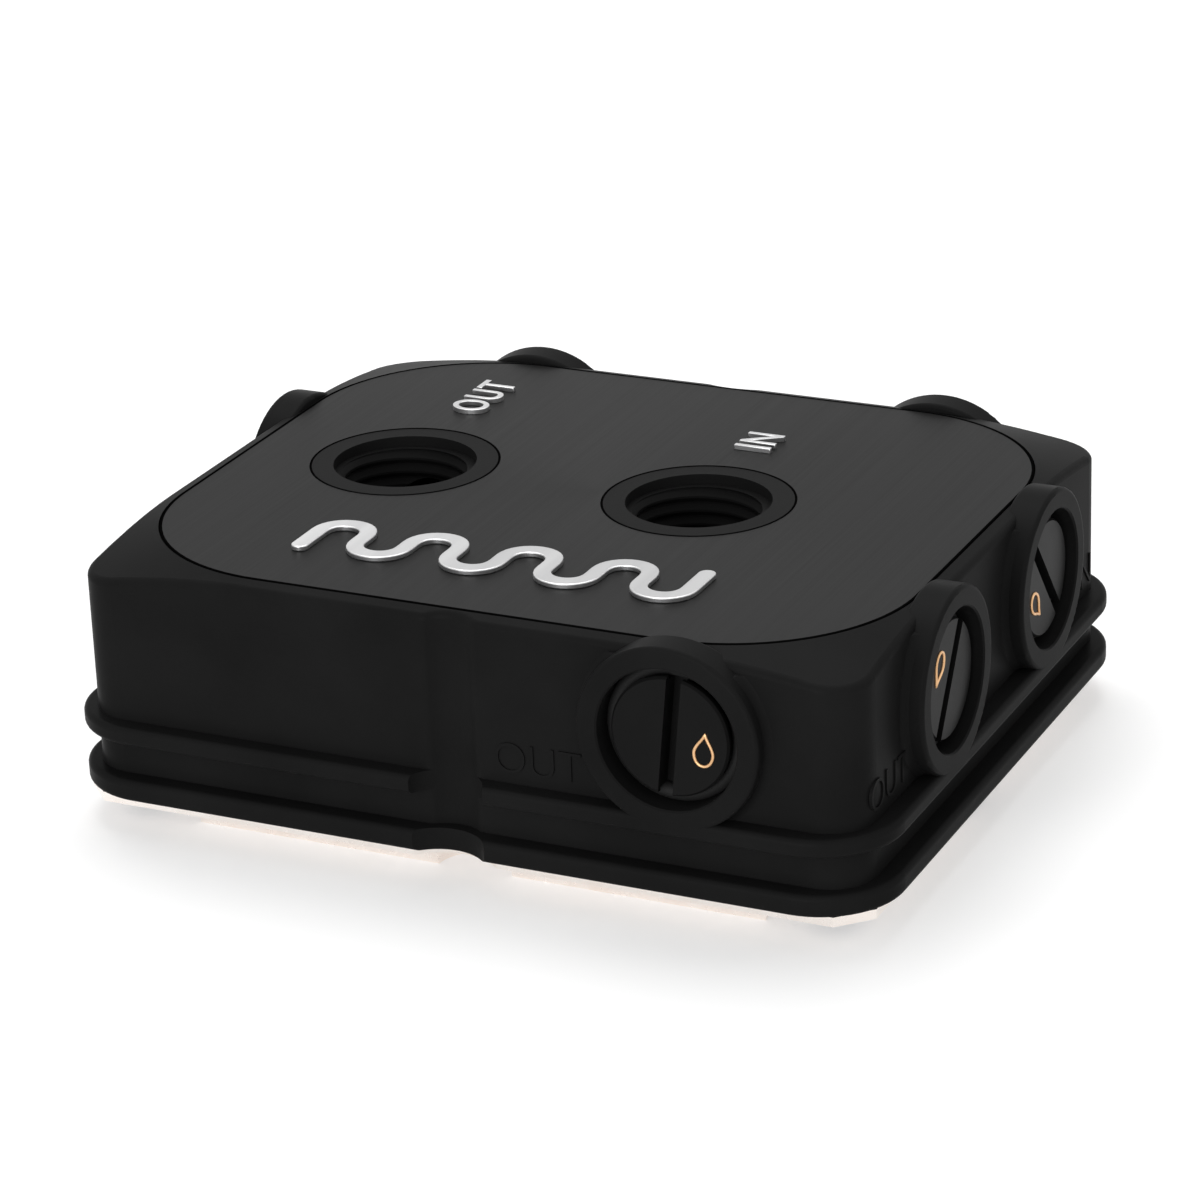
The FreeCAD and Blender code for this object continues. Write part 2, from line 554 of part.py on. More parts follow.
def build_jet_plate():
    """The thin nozzle plate that lies on the fins under the inlet."""
    blank = slab("JetBlank", f"{CHAMBER_LENGTH} - 2 * Sizes.JetPlateEndGap",
                 f"{CHAMBER_WIDTH} - 2 * Sizes.JetPlateSideGap", "Sizes.JetPlateCorner",
                 "Sizes.JetPlateThickness", f"{BASE_TOP} + Sizes.FinHeight")
    count = int(size("InletMouthLength") / size("JetSlotPitch")) - 1
    slots = [block(f"JetSlot{i}", "Sizes.JetSlotLength", "Sizes.JetSlotWidth", "Sizes.JetPlateThickness",
                   f"Sizes.InletMouthX + {i - (count - 1) / 2} * Sizes.JetSlotPitch", 0,
                   f"{BASE_TOP} + Sizes.FinHeight") for i in range(count)]
    return placed(cut("JetPlate", blank, *slots), "jet_plate")


def build_gaskets():
    """The ring gasket round the chamber and the frame gasket round the inlet mouth."""
    main = ring("MainGasket", CHAMBER_LENGTH, CHAMBER_WIDTH, "Sizes.ChamberCorner",
                "Sizes.GasketInset", "Sizes.GasketInset + Sizes.GasketWidth", "Sizes.GasketHeight", BASE_TOP,
                rim="Sizes.GasketRound")
    frame = ring("InletGasket", "Sizes.InletMouthLength", "Sizes.InletMouthWidth", "Sizes.FrameCorner",
                 "Sizes.FrameClearance", "Sizes.FrameClearance + Sizes.FrameWidth",
                 "Sizes.ChamberHeight - Sizes.FinHeight - Sizes.JetPlateThickness",
                 f"{BASE_TOP} + Sizes.FinHeight + Sizes.JetPlateThickness", "Sizes.InletMouthX",
                 "Sizes.InletMouthY")
    return [placed(main, "main_gasket"), placed(frame, "inlet_gasket")]


def build_screws():
    """Six identical low-head screws that hold the base on from below."""
    screws = []
    for i, (x, y) in enumerate(screw_places()):
        head_floor = "Sizes.StepHeight - Sizes.HeadHeight"
        head = cylinder(f"ScrewHead{i}", "Sizes.HeadRadius", "Sizes.HeadHeight", x, y, head_floor)
        shank = cylinder(f"ScrewShank{i}", "Sizes.ScrewRadius", "Sizes.ScrewLength", x, y, "Sizes.StepHeight")
        socket = bind(doc.addObject("Part::Prism", f"ScrewSocket{i}"), Circumradius="Sizes.DriveRadius",
                      Height="Sizes.DriveDepth", x=x, y=y, z=head_floor)
        screws.append(cut(f"Screw{i}", fuse(f"ScrewBlank{i}", [head, shank]), socket))
    group = doc.addObject("Part::Compound", "BaseScrews")
    group.Links = screws
    return placed(group, "base_screws")


def build_plug(name, side, x, y):
    """A slotted screw plug: face disc, neck for the seal ring and threaded barrel."""
    face_floor = "(Sizes.PlugRecess + Sizes.PlugFaceThickness)"
    neck_radius = "Sizes.SealSeatRadius - Sizes.SealSection"
    length = "(Sizes.SideThreadDepth - Sizes.SealSeatDepth - Sizes.PlugEndClearance)"
    disc = cylinder(f"PlugDisc_{name}", "Sizes.PlugFaceRadius", "Sizes.PlugFaceThickness - Sizes.PlugEdge",
                    z=f"-{face_floor}")
    edge = cone(f"PlugEdge_{name}", "Sizes.PlugFaceRadius", "Sizes.PlugFaceRadius - Sizes.PlugEdge",
                "Sizes.PlugEdge", z="-Sizes.PlugRecess - Sizes.PlugEdge")
    neck = cylinder(f"PlugNeck_{name}", neck_radius, f"Sizes.SealSeatDepth - {face_floor}",
                    z="-Sizes.SealSeatDepth")
    barrel = cylinder(f"PlugBarrel_{name}", "Sizes.ThreadRadius - Sizes.PlugThreadClearance", length,
                      z=f"-Sizes.SealSeatDepth - {length}")
    slot = block(f"PlugSlot_{name}", "Sizes.SlotWidth", f"2 * Sizes.PlugFaceRadius + {PAST}",
                 f"Sizes.SlotDepth + {PAST}", z="-Sizes.PlugRecess - Sizes.SlotDepth")
    plug = cut(f"Plug_{name}", fuse(f"PlugBlank_{name}", [disc, edge, neck, barrel]), slot)
    return placed(plug, f"plug_{name}", side, PLUG_TURNS[name], x=x, y=y, z=PORT_AXIS)


def build_seal(name, side, x, y):
    """The round rubber ring between a plug's neck and its seat in the housing."""
    seal = bind(doc.addObject("Part::Torus", f"Seal_{name}"),
                Radius1="Sizes.SealSeatRadius - Sizes.SealSection / 2",
                Radius2="Sizes.SealSection / 2 - Sizes.SealClearance")
    dx, dy = outward_steps(side, "(Sizes.SealSeatDepth - Sizes.SealSection / 2)")
    return placed(seal, f"seal_{name}", side, x=f"{x} + {dx}", y=f"{y} + {dy}", z=PORT_AXIS)


def write_parts(pieces):
    """Stop on a failed object, then write each piece to its own file."""
    doc.recompute()
    for item in doc.Objects:
        if {"Invalid", "Error"} & set(item.State):
            raise RuntimeError(f"{item.Name}: {item.State}")
    os.makedirs("parts", exist_ok=True)
    for piece in pieces:
        shape = piece.Shape
        if shape.isNull() or not shape.isValid() or not shape.Solids:
            raise RuntimeError(f"{piece.Label} has no valid solid")
        shape.exportStep(f"parts/{piece.Label}.step")
        print(f"{piece.Label:18s} solids {len(shape.Solids)}  volume {shape.Volume:9.1f} mm3")


pieces = [build_housing(), build_top_plate(), build_base_plate(), build_jet_plate(), *build_gaskets(),
          build_screws()]
for name, side, x, y, depth in SIDE_PORTS:
    pieces += [build_plug(name, side, x, y), build_seal(name, side, x, y)]
write_parts(pieces)
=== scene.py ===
# %% [markdown]
# # A liquid cooling cold plate
# This lesson dresses a finished CAD model of a cold plate, the block that sits on a processor and carries its
# heat away in water. The solids come from FreeCAD at their real size, so nothing here is fitted by eye: one
# unit is a metre, the copper contact face lies at z = 0, and each new piece goes where the solids say.

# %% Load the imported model
import math

import bpy
from mathutils import Matrix, Vector


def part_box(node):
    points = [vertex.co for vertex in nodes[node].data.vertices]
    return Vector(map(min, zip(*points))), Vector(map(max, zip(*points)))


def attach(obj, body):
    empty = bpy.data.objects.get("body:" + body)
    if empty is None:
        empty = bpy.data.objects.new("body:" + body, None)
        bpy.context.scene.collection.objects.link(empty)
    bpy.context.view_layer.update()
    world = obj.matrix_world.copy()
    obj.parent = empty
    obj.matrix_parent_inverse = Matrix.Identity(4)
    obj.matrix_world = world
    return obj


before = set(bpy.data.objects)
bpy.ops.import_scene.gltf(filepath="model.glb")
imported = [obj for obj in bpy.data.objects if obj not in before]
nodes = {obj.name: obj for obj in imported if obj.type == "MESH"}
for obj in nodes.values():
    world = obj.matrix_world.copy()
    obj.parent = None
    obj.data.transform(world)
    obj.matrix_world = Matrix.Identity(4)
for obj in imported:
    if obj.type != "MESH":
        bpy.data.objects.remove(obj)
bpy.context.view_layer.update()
MM = 0.001
plate_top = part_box("top_plate")[1].z
print("nodes", len(nodes), "plate top at", round(plate_top / MM, 2), "mm")

# %% [markdown]
# ## Small tools for the workshop
# Blender's operators act on whatever is selected, so each step starts from an empty selection. A finished
# piece keeps its place in its mesh, with its object at the origin, just as the CAD nodes do. These helpers
# do those two things, open a whole piece for editing, and hand a piece its material and the body that it
# rides on.

# %% Selecting and finishing
SMOOTH_BELOW = math.radians(32)
SMOOTH_RAISED = math.radians(20)
SMOOTH_ROUND = math.radians(60)
MERGE_DISTANCE = 0.002 * MM
BEVEL_STEPS = 2


def clear_selection():
    """Leave edit mode and deselect every object."""
    if bpy.context.object and bpy.context.object.mode != "OBJECT":
        bpy.ops.object.mode_set(mode="OBJECT")
    bpy.ops.object.select_all(action="DESELECT")


def pick(piece):
    """Make one object the selected and active one."""
    clear_selection()
    piece.select_set(True)
    bpy.context.view_layer.objects.active = piece
    return piece


def settle(piece):
    """Move a piece's place, turn and scale into its mesh."""
    pick(piece)
    bpy.ops.object.transform_apply(location=True, rotation=True, scale=True)
    return piece


def open_whole(piece):
    """Open a piece in edit mode with everything selected."""
    pick(piece)
    bpy.ops.object.mode_set(mode="EDIT")
    bpy.ops.mesh.select_all(action="SELECT")


def finish_piece(piece, name, material, smooth=SMOOTH_BELOW):
    """Name a new piece, give it its finish and let it ride on the cold plate."""
    settle(piece)
    piece.name = name
    piece.data.name = name
    bpy.ops.object.shade_smooth_by_angle(angle=smooth)
    piece.data.materials.clear()
    piece.data.materials.append(material)
    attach(piece, "root")
    return piece


# %% [markdown]
# ## Two shared effects as node groups
# Moulded plastic has a fine grain that breaks up its sheen, and machined or brushed metal has long fine
# lines. Both effects are needed on several finishes, so each is a node group with named inputs. A group
# gives only values that vary over the surface; the shader itself stays in each material.

# %% Helpers for shader nodes
def new_group(name, inputs, outputs):
    """A shader node group with its sockets; inputs are (name, type, default)."""
    group = bpy.data.node_groups.new(name, "ShaderNodeTree")
    for label, kind, default in inputs:
        socket = group.interface.new_socket(name=label, in_out="INPUT", socket_type=kind)
        if default is not None:
            socket.default_value = default
    for label in outputs:
        group.interface.new_socket(name=label, in_out="OUTPUT", socket_type="NodeSocketFloat")
    return group


def add_node(tree, kind, place, **settings):
    """One node at a place in the editor, with its properties set."""
    node = tree.nodes.new(kind)
    node.location = place
    for key, value in settings.items():
        setattr(node, key, value)
    return node


def math_node(tree, operation, place, first, second):
    """A math node; each operand is a socket to link or a number."""
    node = add_node(tree, "ShaderNodeMath", place, operation=operation)
    for index, operand in enumerate((first, second)):
        if isinstance(operand, bpy.types.NodeSocket):
            tree.links.new(operand, node.inputs[index])
        else:
            node.inputs[index].default_value = operand
    return node.outputs[0]


def ramp_node(tree, place, source, stops):
    """A colour ramp driven by a socket; stops are (position, grey or colour)."""
    node = add_node(tree, "ShaderNodeValToRGB", place)
    tree.links.new(source, node.inputs["Fac"])
    for index, (position, colour) in enumerate(stops):
        element = node.color_ramp.elements[index] if index < 2 else node.color_ramp.elements.new(position)
        element.position = position
        element.color = (*colour, 1) if isinstance(colour, tuple) else (colour, colour, colour, 1)
    return node.outputs["Color"]


# %% The moulded grain group
grain_group = new_group("Moulded grain", [("Vector", "NodeSocketVector", None),
                                          ("Grain Scale", "NodeSocketFloat", 4000.0),
                                          ("Mottle Scale", "NodeSocketFloat", 90.0)], ["Grain", "Mottle"])
inside = add_node(grain_group, "NodeGroupInput", (-600, 0))
outside = add_node(grain_group, "NodeGroupOutput", (400, 0))
fine = add_node(grain_group, "ShaderNodeTexNoise", (-200, 150))
fine.inputs["Detail"].default_value = 2.0
broad = add_node(grain_group, "ShaderNodeTexNoise", (-200, -150))
broad.inputs["Detail"].default_value = 4.0
for texture, scale, output in ((fine, "Grain Scale", "Grain"), (broad, "Mottle Scale", "Mottle")):
    grain_group.links.new(inside.outputs["Vector"], texture.inputs["Vector"])
    grain_group.links.new(inside.outputs[scale], texture.inputs["Scale"])
    grain_group.links.new(texture.outputs["Fac"], outside.inputs[output])
print("group", grain_group.name)

# %% The brushed lines group
lines_group = new_group("Brushed lines", [("Vector", "NodeSocketVector", None),
                                          ("Stretch", "NodeSocketVector", (6000.0, 60.0, 60.0))],
                        ["Lines", "Streaks"])
inside = add_node(lines_group, "NodeGroupInput", (-800, 0))
outside = add_node(lines_group, "NodeGroupOutput", (400, 0))
stretch = add_node(lines_group, "ShaderNodeVectorMath", (-500, 0), operation="MULTIPLY")
lines_group.links.new(inside.outputs["Vector"], stretch.inputs[0])
lines_group.links.new(inside.outputs["Stretch"], stretch.inputs[1])
for place, scale, detail, output in (((-200, 150), 1.0, 3.0, "Lines"), ((-200, -150), 0.16, 4.0, "Streaks")):
    texture = add_node(lines_group, "ShaderNodeTexNoise", place)
    texture.inputs["Scale"].default_value = scale
    texture.inputs["Detail"].default_value = detail
    lines_group.links.new(stretch.outputs["Vector"], texture.inputs["Vector"])
    lines_group.links.new(texture.outputs["Fac"], outside.inputs[output])
print("group", lines_group.name)

# %% [markdown]
# ## Starting a material
# Every finish reads Object coordinates, because each piece's object stays at the origin: the pattern then
# keeps its real size and doesn't slide. Numbers that are the same all over are set on the Principled BSDF's
# own sockets, which is also where an exporter looks for them.

# %% Material starter
def start_material(name, **sockets):
    """Start a material with its constant sockets set; returns the material, its tree and its shader."""
    material = bpy.data.materials.new(name)
    material.use_nodes = True
    tree = material.node_tree
    shader = tree.nodes["Principled BSDF"]
    for key, value in sockets.items():
        shader.inputs[key.replace("_", " ")].default_value = value
    return material, tree, shader


def place_group(tree, group, place, **values):
    """A node group in a material, fed with Object coordinates."""
    coordinates = add_node(tree, "ShaderNodeTexCoord", (place[0] - 250, place[1]))
    node = add_node(tree, "ShaderNodeGroup", place, node_tree=group)
    tree.links.new(coordinates.outputs["Object"], node.inputs["Vector"])
    for key, value in values.items():
        node.inputs[key.replace("_", " ")].default_value = value
    return node


def add_bump(tree, shader, height, depth):
    """Feed a height into the shader's normal through a bump of a real depth."""
    bump = add_node(tree, "ShaderNodeBump", (-250, -300))
    bump.inputs["Strength"].default_value = 1.0
    bump.inputs["Distance"].default_value = depth
    tree.links.new(height, bump.inputs["Height"])
    tree.links.new(bump.outputs["Normal"], shader.inputs["Normal"])


# %% [markdown]
# ## Black moulded plastic
# The housing is glass-filled nylon in deep black, with a satin skin. Its colour hardly varies; what the eye
# reads is the soft sheen along the rounded edges, slightly broken by the moulding grain.

# %% Housing plastic
def moulded(name, tones, rough, specular, grain_depth):
    """A black moulded finish between two tones and two roughnesses."""
    material, tree, shader = start_material(name, Specular_IOR_Level=specular)
    grain = place_group(tree, grain_group, (-700, 0))
    tree.links.new(ramp_node(tree, (-350, 150), grain.outputs["Mottle"], [(0.3, tones[0]), (0.7, tones[1])]),
                   shader.inputs["Base Color"])
    tree.links.new(ramp_node(tree, (-350, -100), grain.outputs["Mottle"], [(0.3, rough[0]), (0.7, rough[1])]),
                   shader.inputs["Roughness"])
    add_bump(tree, shader, grain.outputs["Grain"], grain_depth)
    return material


housing_plastic = moulded("Black moulded nylon", (0.0095, 0.0125), (0.34, 0.42), 0.012, 0.006 * MM)
print(housing_plastic.name)

# %% [markdown]
# ## Brushed black plate
# The top plate is aluminium, brushed along the short side and anodised black. The lines run along Y, so the
# noise is squeezed along X and drawn out along Y. They tint the colour a little, vary the roughness and lift
# the surface by about a micrometre.

# %% Plate finish
ANISOTROPY = 0.3
plate_finish, tree, shader = start_material("Black brushed aluminium", Specular_IOR_Level=0.052,
                                            Anisotropic=ANISOTROPY)
lines = place_group(tree, lines_group, (-700, 0), Stretch=(9000.0, 45.0, 45.0))
tree.links.new(ramp_node(tree, (-350, 150), lines.outputs["Streaks"], [(0.25, 0.008), (0.75, 0.012)]),
               shader.inputs["Base Color"])
tree.links.new(ramp_node(tree, (-350, -100), lines.outputs["Lines"], [(0.3, 0.34), (0.7, 0.4)]),
               shader.inputs["Roughness"])
add_bump(tree, shader, lines.outputs["Lines"], 0.0012 * MM)
print(plate_finish.name)

# %% [markdown]
# ## Copper, steel and rubber
# The base is copper: its contact face is lapped in fine lines and its edges are machined bright. Its tones
# are paler than bare copper's, as a strongly lit edge shows them. The screws and the nozzle plate are plain
# steel, and the rings and gaskets are soft black rubber.

# %% Bare metals
def machined(name, tones, rough, stretch, depth):
    """A bright machined metal: two tones, two roughnesses, lines stretched along a direction."""
    material, tree, shader = start_material(name, Metallic=1.0, Anisotropic=ANISOTROPY)
    lines = place_group(tree, lines_group, (-700, 0), Stretch=stretch)
    tree.links.new(ramp_node(tree, (-350, 150), lines.outputs["Streaks"], [(0.3, tones[0]), (0.7, tones[1])]),
                   shader.inputs["Base Color"])
    tree.links.new(ramp_node(tree, (-350, -100), lines.outputs["Lines"], [(0.3, rough[0]), (0.7, rough[1])]),
                   shader.inputs["Roughness"])
    add_bump(tree, shader, lines.outputs["Lines"], depth)
    return material


copper = machined("Machined copper", ((0.93, 0.855, 0.80), (0.98, 0.925, 0.885)), (0.16, 0.30),
                  (2500.0, 120.0, 2500.0), 0.0015 * MM)
steel = machined("Plain steel", ((0.34, 0.34, 0.35), (0.46, 0.46, 0.47)), (0.30, 0.42),
                 (2500.0, 90.0, 2500.0), 0.001 * MM)
silver = machined("Polished raised metal", ((0.46, 0.46, 0.465), (0.53, 0.53, 0.53)), (0.36, 0.42),
                  (3000.0, 60.0, 60.0), 0.0005 * MM)
inlay = machined("Copper coloured inlay", ((0.62, 0.36, 0.17), (0.80, 0.50, 0.28)), (0.25, 0.40),
                 (3000.0, 3000.0, 3000.0), 0.003 * MM)
print(copper.name, steel.name, silver.name, inlay.name)

# %% Rubber, plugs and the painted gap shadow
rubber = moulded("Black rubber", (0.010, 0.016), (0.62, 0.75), 0.2, 0.02 * MM)
plug_finish = moulded("Black turned plug", (0.0075, 0.0095), (0.28, 0.36), 0.035, 0.003 * MM)
# Painted shade: a near-black finish with no reflection, for the strip that darkens the plate's gaps.
gap_shadow_black = moulded("Painted gap shadow", (0.0015, 0.0025), (0.7, 0.8), 0.0, 0.01 * MM)
print(rubber.name, plug_finish.name, gap_shadow_black.name)

# %% [markdown]
# ## Dressing the solids
# The solids are shaped by their own file and bring the exact normals of their round faces with them, so they
# stay as they are. Each one only gets its finish in the material slot of its object.

# %% Dress the solids
FINISHES = {
    "housing": housing_plastic,
    "top_plate": plate_finish,
    "base_plate": copper,
    "jet_plate": steel,
    "main_gasket": rubber,
    "inlet_gasket": rubber,
    "base_screws": steel,
}
SIDES = ("front", "right_front", "right_rear", "back_right", "back_left", "left")
for side in SIDES:
    FINISHES[f"plug_{side}"] = plug_finish
    FINISHES[f"seal_{side}"] = rubber
for node, material in FINISHES.items():
    nodes[node].material_slots[0].material = material
print("dressed", len(FINISHES), "solids")

# %% [markdown]
# ## Threads in the two top ports
# A G1/4 thread has a pitch of 1.337 mm. A thin ridge is one small quad, turned and lifted round the port's
# axis by the Screw modifier. It starts beyond both ends of the bore and is then trimmed to it by a Boolean,
# and where a side passage opens into the outlet, a second Boolean takes the ridge away, as the drill did.

# %% Cut the threads
THREAD_PITCH = 1.337 * MM
WALL_RADIUS = 6.15 * MM
CREST_RADIUS = 5.73 * MM
WALL_OVERLAP = 0.03 * MM
PORT_Y = 1.0 * MM
PORT_X = {"out": -20.5 * MM, "in": 9.4 * MM}
THREAD_FLOOR = plate_top - 9.0 * MM
THREAD_TOP = plate_top - 1.0 * MM
THREAD_TURNS = 8
THREAD_STEPS = 64
ROOT_SHARE = 0.92
CREST_SHARE = 0.16
ROD_SIDES = 96
PORT_AXIS = plate_top - 7.65 * MM
PASSAGE_X = -21.1 * MM
PASSAGE_RADIUS = 3.7 * MM
PASSAGE_REACH = 24.6 * MM


def add_rod(radius, depth, centre, turn=(0, 0, 0)):
    """A plain rod to trim with."""
    clear_selection()
    bpy.ops.mesh.primitive_cylinder_add(vertices=ROD_SIDES, radius=radius, depth=depth, location=centre,
                                        rotation=turn)
    return settle(bpy.context.object)


def trim(piece, rod, operation):
    """Apply a Boolean with a rod and remove the rod."""
    pick(piece)
    boolean = piece.modifiers.new("Trim", "BOOLEAN")
    boolean.object = rod
    boolean.operation = operation
    bpy.ops.object.modifier_apply(modifier=boolean.name)
    bpy.data.objects.remove(rod)


def add_thread(x):
    """A helical ridge inside the port at x."""
    clear_selection()
    middle = (WALL_RADIUS + WALL_OVERLAP + CREST_RADIUS) / 2
    bpy.ops.mesh.primitive_plane_add(size=1, location=(middle, 0, 0), rotation=(math.pi / 2, 0, 0))
    ridge = bpy.context.object
    ridge.scale = (WALL_RADIUS + WALL_OVERLAP - CREST_RADIUS, ROOT_SHARE * THREAD_PITCH, 1)
    settle(ridge)
    bpy.ops.object.mode_set(mode="EDIT")
    bpy.ops.mesh.select_all(action="DESELECT")
    bpy.ops.object.mode_set(mode="OBJECT")
    for vertex in ridge.data.vertices:
        vertex.select = vertex.co.x < middle
    bpy.ops.object.mode_set(mode="EDIT")
    bpy.ops.transform.resize(value=(1, 1, CREST_SHARE))
    bpy.ops.object.mode_set(mode="OBJECT")
    screw = ridge.modifiers.new("Thread", "SCREW")
    screw.axis = "Z"
    screw.screw_offset = THREAD_PITCH
    screw.iterations = THREAD_TURNS
    screw.steps = screw.render_steps = THREAD_STEPS
    screw.use_merge_vertices = False
    bpy.ops.object.modifier_apply(modifier=screw.name)
    open_whole(ridge)
    bpy.ops.mesh.remove_doubles(threshold=MERGE_DISTANCE)
    bpy.ops.mesh.fill_holes(sides=4)
    bpy.ops.mesh.normals_make_consistent(inside=False)
    bpy.ops.object.mode_set(mode="OBJECT")
    ridge.location = (x, PORT_Y, THREAD_FLOOR - THREAD_PITCH)
    settle(ridge)
    inside = (THREAD_FLOOR + THREAD_TOP) / 2
    trim(ridge, add_rod(WALL_RADIUS + 2 * WALL_OVERLAP, THREAD_TOP - THREAD_FLOOR - WALL_OVERLAP,
                        (x, PORT_Y, inside)), "INTERSECT")
    return ridge


for label, x in PORT_X.items():
    thread = add_thread(x)
    if label == "out":
        middle = (PASSAGE_X, PORT_Y + PASSAGE_REACH / 2, PORT_AXIS)
        passage = add_rod(PASSAGE_RADIUS, PASSAGE_REACH, middle, (math.pi / 2, 0, 0))
        trim(thread, passage, "DIFFERENCE")
    finish_piece(thread, f"port_{label}_thread", housing_plastic)
    print(thread.name, len(thread.data.polygons), "faces")

# %% [markdown]
# ## A painted shadow in the plate's gaps
# The plate lies in the housing with a narrow gap round it and round both ports. A thin near-black round strip
# that reflects nothing is laid in it as painted shade, to darken the gaps the way their shadow does. A copy
# of the plate's mesh gives its path: only the edges that go round its flat top are kept, and they are turned
# into curves with a round bevel.

# %% Lay the painted gap shadow
GAP_SHADOW_RADIUS = 0.13 * MM
FLAT_TOLERANCE = 0.01 * MM
FACES_UP = 0.99
clear_selection()
gap_shadow = nodes["top_plate"].copy()
gap_shadow.data = nodes["top_plate"].data.copy()
bpy.context.scene.collection.objects.link(gap_shadow)
open_whole(gap_shadow)
bpy.ops.mesh.select_mode(type="FACE")
bpy.ops.mesh.remove_doubles(threshold=MERGE_DISTANCE)
bpy.ops.mesh.select_all(action="DESELECT")
bpy.ops.object.mode_set(mode="OBJECT")
for face in gap_shadow.data.polygons:
    face.select = face.normal.z > FACES_UP and abs(face.center.z - plate_top) < FLAT_TOLERANCE
bpy.ops.object.mode_set(mode="EDIT")
bpy.ops.mesh.select_all(action="INVERT")
bpy.ops.mesh.delete(type="FACE")
bpy.ops.mesh.select_all(action="SELECT")
bpy.ops.mesh.region_to_loop()
bpy.ops.mesh.select_all(action="INVERT")
bpy.ops.mesh.delete(type="EDGE")
bpy.ops.mesh.select_all(action="SELECT")
bpy.ops.mesh.delete(type="ONLY_FACE")
bpy.ops.object.mode_set(mode="OBJECT")
print("bead path", len(gap_shadow.data.edges), "edges")
bpy.ops.object.convert(target="CURVE")
gap_shadow = bpy.context.object
print("loops", len(gap_shadow.data.splines))
gap_shadow.data.bevel_depth = GAP_SHADOW_RADIUS
gap_shadow.data.bevel_resolution = BEVEL_STEPS
bpy.ops.object.convert(target="MESH")
gap_shadow = bpy.context.object
gap_shadow.location = (0, 0, -GAP_SHADOW_RADIUS / 2)
# The strip is painted shadow: it lies in the gaps to darken them.
finish_piece(gap_shadow, "plate_gap_shadow", gap_shadow_black, smooth=SMOOTH_ROUND)
print("gap_shadow", len(gap_shadow.data.polygons), "faces", [round(v / MM, 2) for v in gap_shadow.dimensions])

# %% [markdown]
# ## Words
# The plate carries two raised words in bright metal, and the housing has the same words moulded into its
# walls. Both start as text objects. A text's extrude gives the letters their depth and its offset their
# weight; the mesh is then scaled to the measured size, stood up and set in its place.

# %% A word as a solid
SUNK = 0.02 * MM
TEXT_STEPS = 8
SAME_PLANE = math.radians(1)
CORNER_ABOVE = math.radians(50)


def bevel_corners(piece, width):
    """Bevel the active piece's sharp edges by a width."""
    bevel = piece.modifiers.new("Edge", "BEVEL")
    bevel.width = width
    bevel.segments = BEVEL_STEPS
    bevel.limit_method = "ANGLE"
    bevel.angle_limit = CORNER_ABOVE
    bpy.ops.object.modifier_apply(modifier=bevel.name)


def add_word(name, text, length, height, depth, turn, centre, material, weight=0.0, edge=0.0, gap=1.0):
    """A word of a given size; turn takes its reading direction, its upward direction and its front."""
    clear_selection()
    bpy.ops.object.text_add()
    word = bpy.context.object
    word.data.body = text
    word.data.resolution_u = TEXT_STEPS
    word.data.offset = weight
    word.data.space_character = gap
    word.data.extrude = 0.5
    bpy.ops.object.convert(target="MESH")
    word = bpy.context.object
    low = Vector([min(corner[axis] for corner in word.bound_box) for axis in range(3)])
    high = Vector([max(corner[axis] for corner in word.bound_box) for axis in range(3)])
    scale = Vector((length, height, depth))
    fit = Matrix.Diagonal([scale[axis] / (high[axis] - low[axis]) for axis in range(3)]).to_4x4()
    word.data.transform(Matrix.Translation(centre) @ turn @ fit @ Matrix.Translation(-(low + high) / 2))
    open_whole(word)
    bpy.ops.mesh.remove_doubles(threshold=MERGE_DISTANCE)
    bpy.ops.mesh.dissolve_limited(angle_limit=SAME_PLANE)
    bpy.ops.object.mode_set(mode="OBJECT")
    if edge:
        bevel_corners(word, edge)
    return finish_piece(word, name, material, smooth=SMOOTH_RAISED)


def reading(along, up):
    """The turn that sets a word along one direction with its tops towards another."""
    along, up = Vector(along), Vector(up)
    return Matrix((along, up, along.cross(up))).transposed().to_4x4()


# %% Raised words on the plate
LETTER_HEIGHT = 3.65 * MM
LETTER_DEPTH = 0.5 * MM
LETTER_EDGE = 0.06 * MM
LETTER_WEIGHT = 0.016
LETTER_GAP = 1.12
for name, text, length, x, y in (("word_out", "OUT", 8.4 * MM, -21.0 * MM, 18.6 * MM),
                                 ("word_in", "IN", 3.8 * MM, 9.0 * MM, 16.1 * MM)):
    piece = add_word(name, text, length, LETTER_HEIGHT, LETTER_DEPTH, reading((0, 1, 0), (-1, 0, 0)),
                     (x, y, plate_top + LETTER_DEPTH / 2 - SUNK), silver, weight=LETTER_WEIGHT,
                     edge=LETTER_EDGE, gap=LETTER_GAP)
    print(piece.name, len(piece.data.polygons), "faces")

# %% Moulded words on the walls
RELIEF_DEPTH = 0.3 * MM
RELIEF_HEIGHT = 2.8 * MM
RELIEF_LEVEL = 13.05 * MM
RELIEF_WEIGHT = -0.014
FRONT_WALL = -31.1 * MM
RIGHT_WALL = 37.6 * MM
to_front = reading((1, 0, 0), (0, 0, 1))
to_right = reading((0, 1, 0), (0, 0, 1))
for name, text, length, turn, centre in (
        ("relief_out_front", "OUT", 8.2 * MM, to_front, (8.2 * MM, FRONT_WALL, RELIEF_LEVEL)),
        ("relief_out_right", "OUT", 8.2 * MM, to_right, (RIGHT_WALL, -24.2 * MM, RELIEF_LEVEL)),
        ("relief_in_right", "IN", 3.6 * MM, to_right, (RIGHT_WALL, 25.3 * MM, RELIEF_LEVEL))):
    piece = add_word(name, text, length, RELIEF_HEIGHT, RELIEF_DEPTH, turn, centre, housing_plastic,
                     weight=RELIEF_WEIGHT)
    print(piece.name, len(piece.data.polygons), "faces")

# %% [markdown]
# ## A raised cooling coil
# The front of the plate carries a bright raised mark. Here it is a plain serpentine, the sign for a cooling
# coil. Its line is one flat curve of straight legs joined by half circles. A Bezier half circle needs
# handles of four thirds of its radius. A small rectangle swept along the line makes a band of an even
# width, two rods round off its ends, and a Bevel modifier softens its edges.

